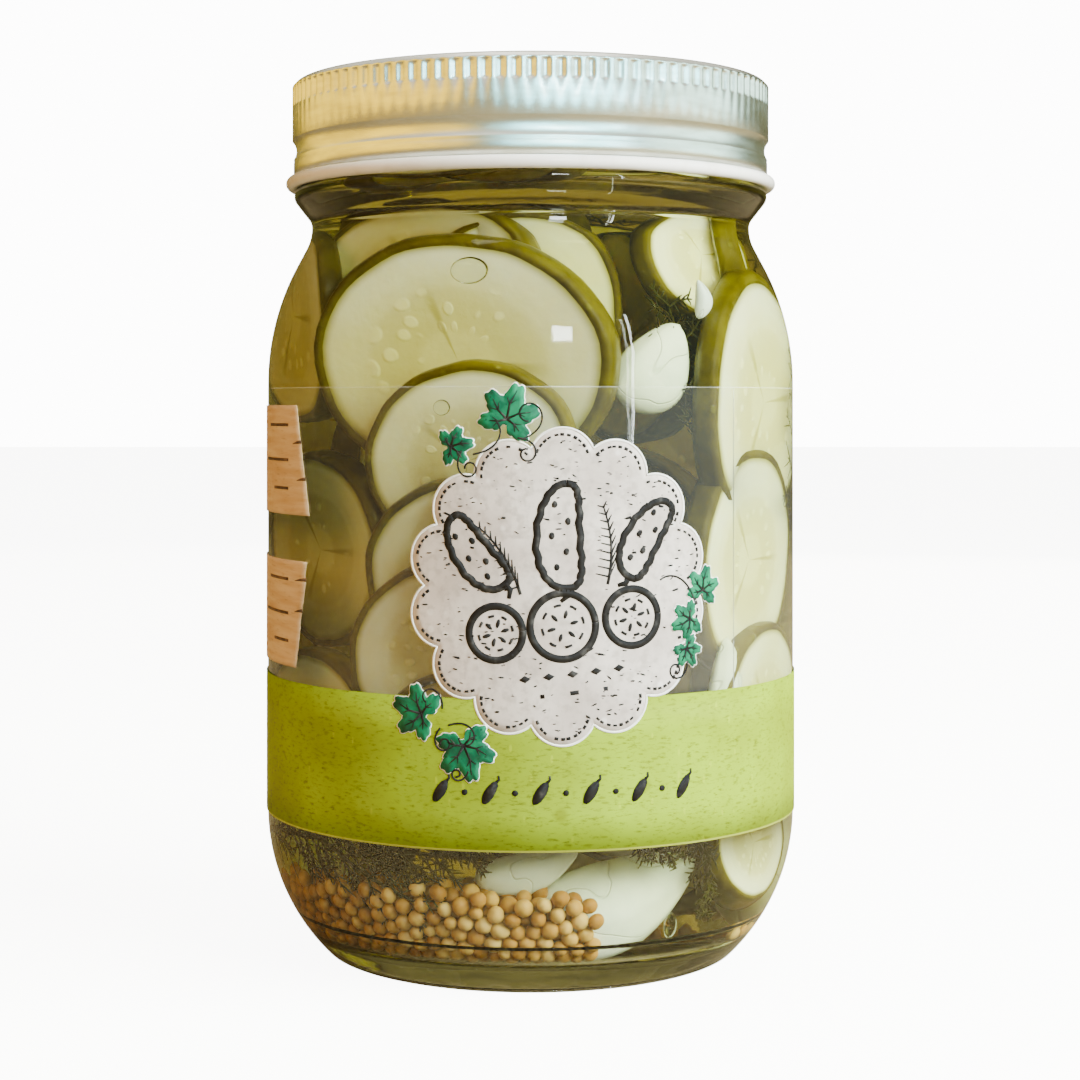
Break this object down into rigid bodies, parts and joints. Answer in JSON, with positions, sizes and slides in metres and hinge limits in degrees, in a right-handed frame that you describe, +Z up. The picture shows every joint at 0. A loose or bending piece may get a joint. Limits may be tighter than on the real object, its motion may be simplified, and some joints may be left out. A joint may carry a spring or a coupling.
{
  "type": "pickle jar",
  "caption": "Filled one-pint clear glass jar with rounded heel and shoulder, a fluted one-piece metal lid and a printed clear label with a green band.",
  "frame": {"origin": "centre of the base, on the plane of the foot ring", "axes": "+Z up along the axis of the jar, -Y towards the front of the label, +X to the right as the label is read"},
  "size_m": [0.0788, 0.0788, 0.1284],
  "materials": {
    "clear_glass": "gloss",
    "lid_metal": "satin",
    "lid_enamel": "gloss",
    "brine": "gloss",
    "label_film": "gloss",
    "label_green": "satin",
    "label_pale": "satin",
    "label_tan": "satin",
    "print_ink": "satin",
    "print_leaf": "satin",
    "pickle_flesh": "gloss",
    "pickle_skin": "gloss",
    "garlic": "gloss",
    "mustard_seed": "satin",
    "dill": "satin",
    "air_bubble": "gloss"
  },
  "bodies": {
    "root": {"jar": "clear_glass", "lid": "lid_metal", "filling": "brine", "label_film": "label_film", "label_band": "label_green", "label_medallion": "label_pale", "label_board_upper": "label_tan", "label_board_lower": "label_tan"}
  },
  "joints": []
}
